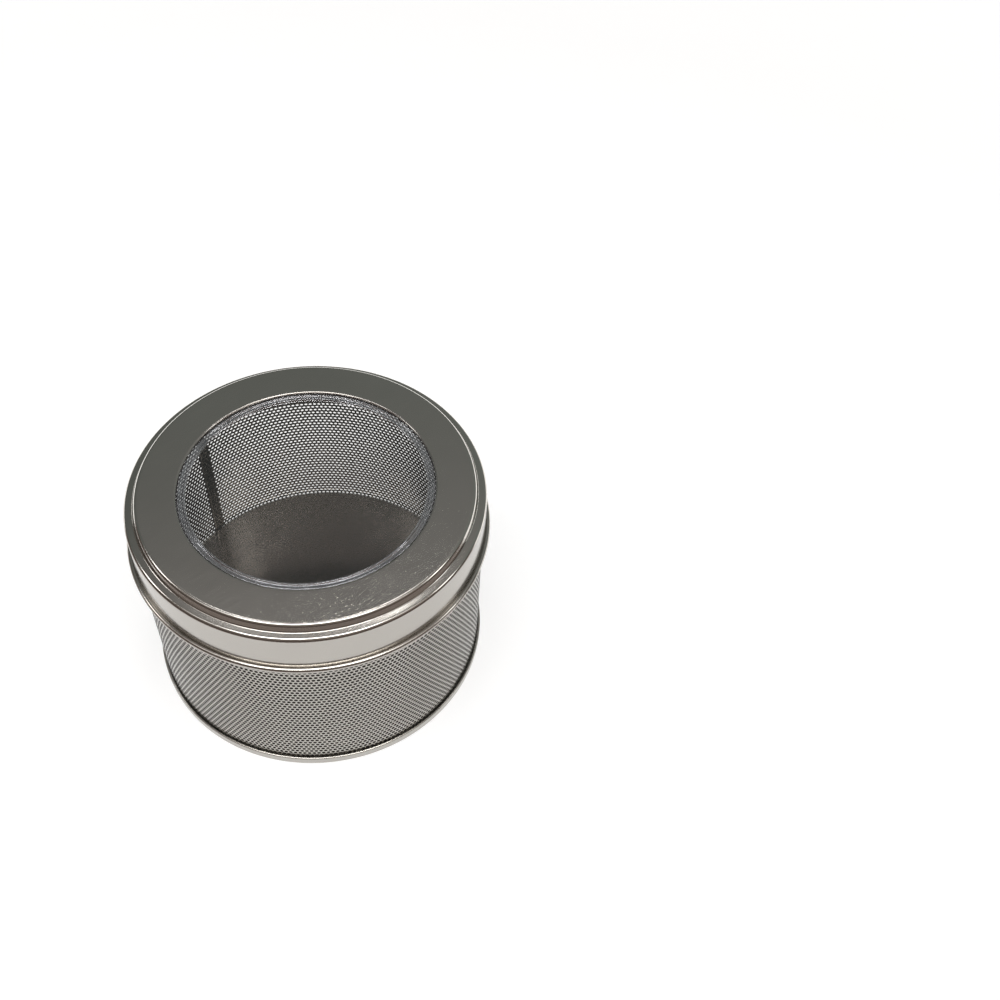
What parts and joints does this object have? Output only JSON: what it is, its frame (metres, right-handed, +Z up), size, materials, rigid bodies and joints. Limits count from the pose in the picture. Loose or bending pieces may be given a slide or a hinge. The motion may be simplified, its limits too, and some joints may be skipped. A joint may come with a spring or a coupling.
{
  "type": "vented metal can",
  "caption": "Round perforated metal can with a raised-floor base seamed to its wall and a lift-off lid that has a clear window.",
  "frame": {"origin": "centre of the ring that the can stands on", "axes": "+Z up along the can's axis; the wall's lapped seam is at 142.5 degrees from +X towards +Y"},
  "size_m": [0.1046, 0.1046, 0.0692],
  "materials": {
    "base_tinplate": "bright tinplate, satin",
    "wall_tinplate": "bright tinplate, perforated",
    "lid_tinplate": "bright tinplate, satin",
    "clear_plastic": "clear formed plastic sheet"
  },
  "bodies": {
    "can": {"base_end": "base_tinplate", "perforated_wall": "wall_tinplate"},
    "lid": {"lid_shell": "lid_tinplate", "lid_window": "clear_plastic"}
  },
  "joints": [
    {"name": "lid_lift", "type": "slide", "parent": "can", "child": "lid", "axis": [0, 0, 1], "range_m": [0, 0.04]}
  ]
}
